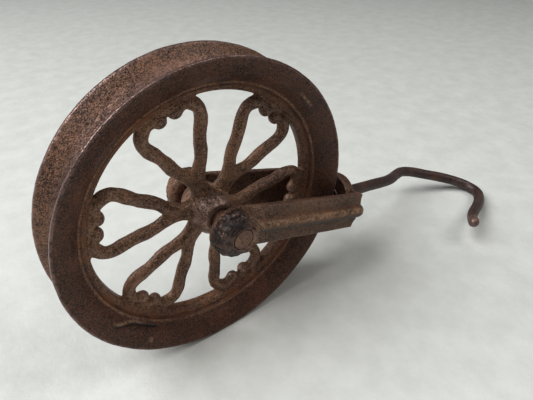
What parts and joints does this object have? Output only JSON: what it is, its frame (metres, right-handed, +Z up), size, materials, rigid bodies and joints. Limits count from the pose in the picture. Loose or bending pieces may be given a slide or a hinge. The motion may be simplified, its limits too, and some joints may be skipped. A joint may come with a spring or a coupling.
{
  "type": "rope pulley with swivel hook",
  "caption": "Antique cast iron rope pulley: a deep-grooved wheel with lyre-shaped spokes on a pin in a U-shaped yoke, with a swivelling hook in the yoke's crown.",
  "frame": {"origin": "on the floor that the pulley stands on, under the middle of its box", "axes": "+X from the wheel towards the hook, +Y along the axle away from the side that shows the pin's ochre-ribbed leg, +Z up"},
  "size_m": [0.6066, 0.1612, 0.3],
  "materials": {
    "wheel_casting": "rusty brown sand-cast iron, pitted, worn darker and smoother on edges and in the groove",
    "yoke_casting": "rusty brown sand-cast iron with an ochre worn rib and a black greasy patch on the ear",
    "pin_steel": "rusty bar end, turned smooth and lightly scratched",
    "hook_iron": "dark brown forged bar with a slight purple sheen"
  },
  "bodies": {
    "yoke": {"near_leg": "yoke_casting", "far_leg": "yoke_casting", "near_ear_boss": "yoke_casting", "far_ear_boss": "yoke_casting", "crown": "yoke_casting", "axle_pin": "pin_steel"},
    "wheel": {"groove_ring": "wheel_casting", "near_flange": "wheel_casting", "far_flange": "wheel_casting", "wheel_hub": "wheel_casting", "spoke_1_left_arm": "wheel_casting", "spoke_1_right_arm": "wheel_casting", "spoke_2_left_arm": "wheel_casting", "spoke_2_right_arm": "wheel_casting", "spoke_3_left_arm": "wheel_casting", "spoke_3_right_arm": "wheel_casting", "spoke_4_left_arm": "wheel_casting", "spoke_4_right_arm": "wheel_casting", "spoke_5_left_arm": "wheel_casting", "spoke_5_right_arm": "wheel_casting", "spoke_6_left_arm": "wheel_casting", "spoke_6_right_arm": "wheel_casting"},
    "hook": {"hook_rod": "hook_iron", "swivel_washer": "hook_iron", "rivet_head": "hook_iron"}
  },
  "joints": [
    {"name": "wheel_spin", "type": "hinge", "parent": "yoke", "child": "wheel", "pos_m": [-0.15327, 0.02785, 0.15], "axis": [0, 1, 0], "continuous": true},
    {"name": "hook_swivel", "type": "hinge", "parent": "yoke", "child": "hook", "pos_m": [0.01332, 0.02345, 0.09638], "axis": [0.9544, 0.1219, -0.2726], "continuous": true}
  ]
}
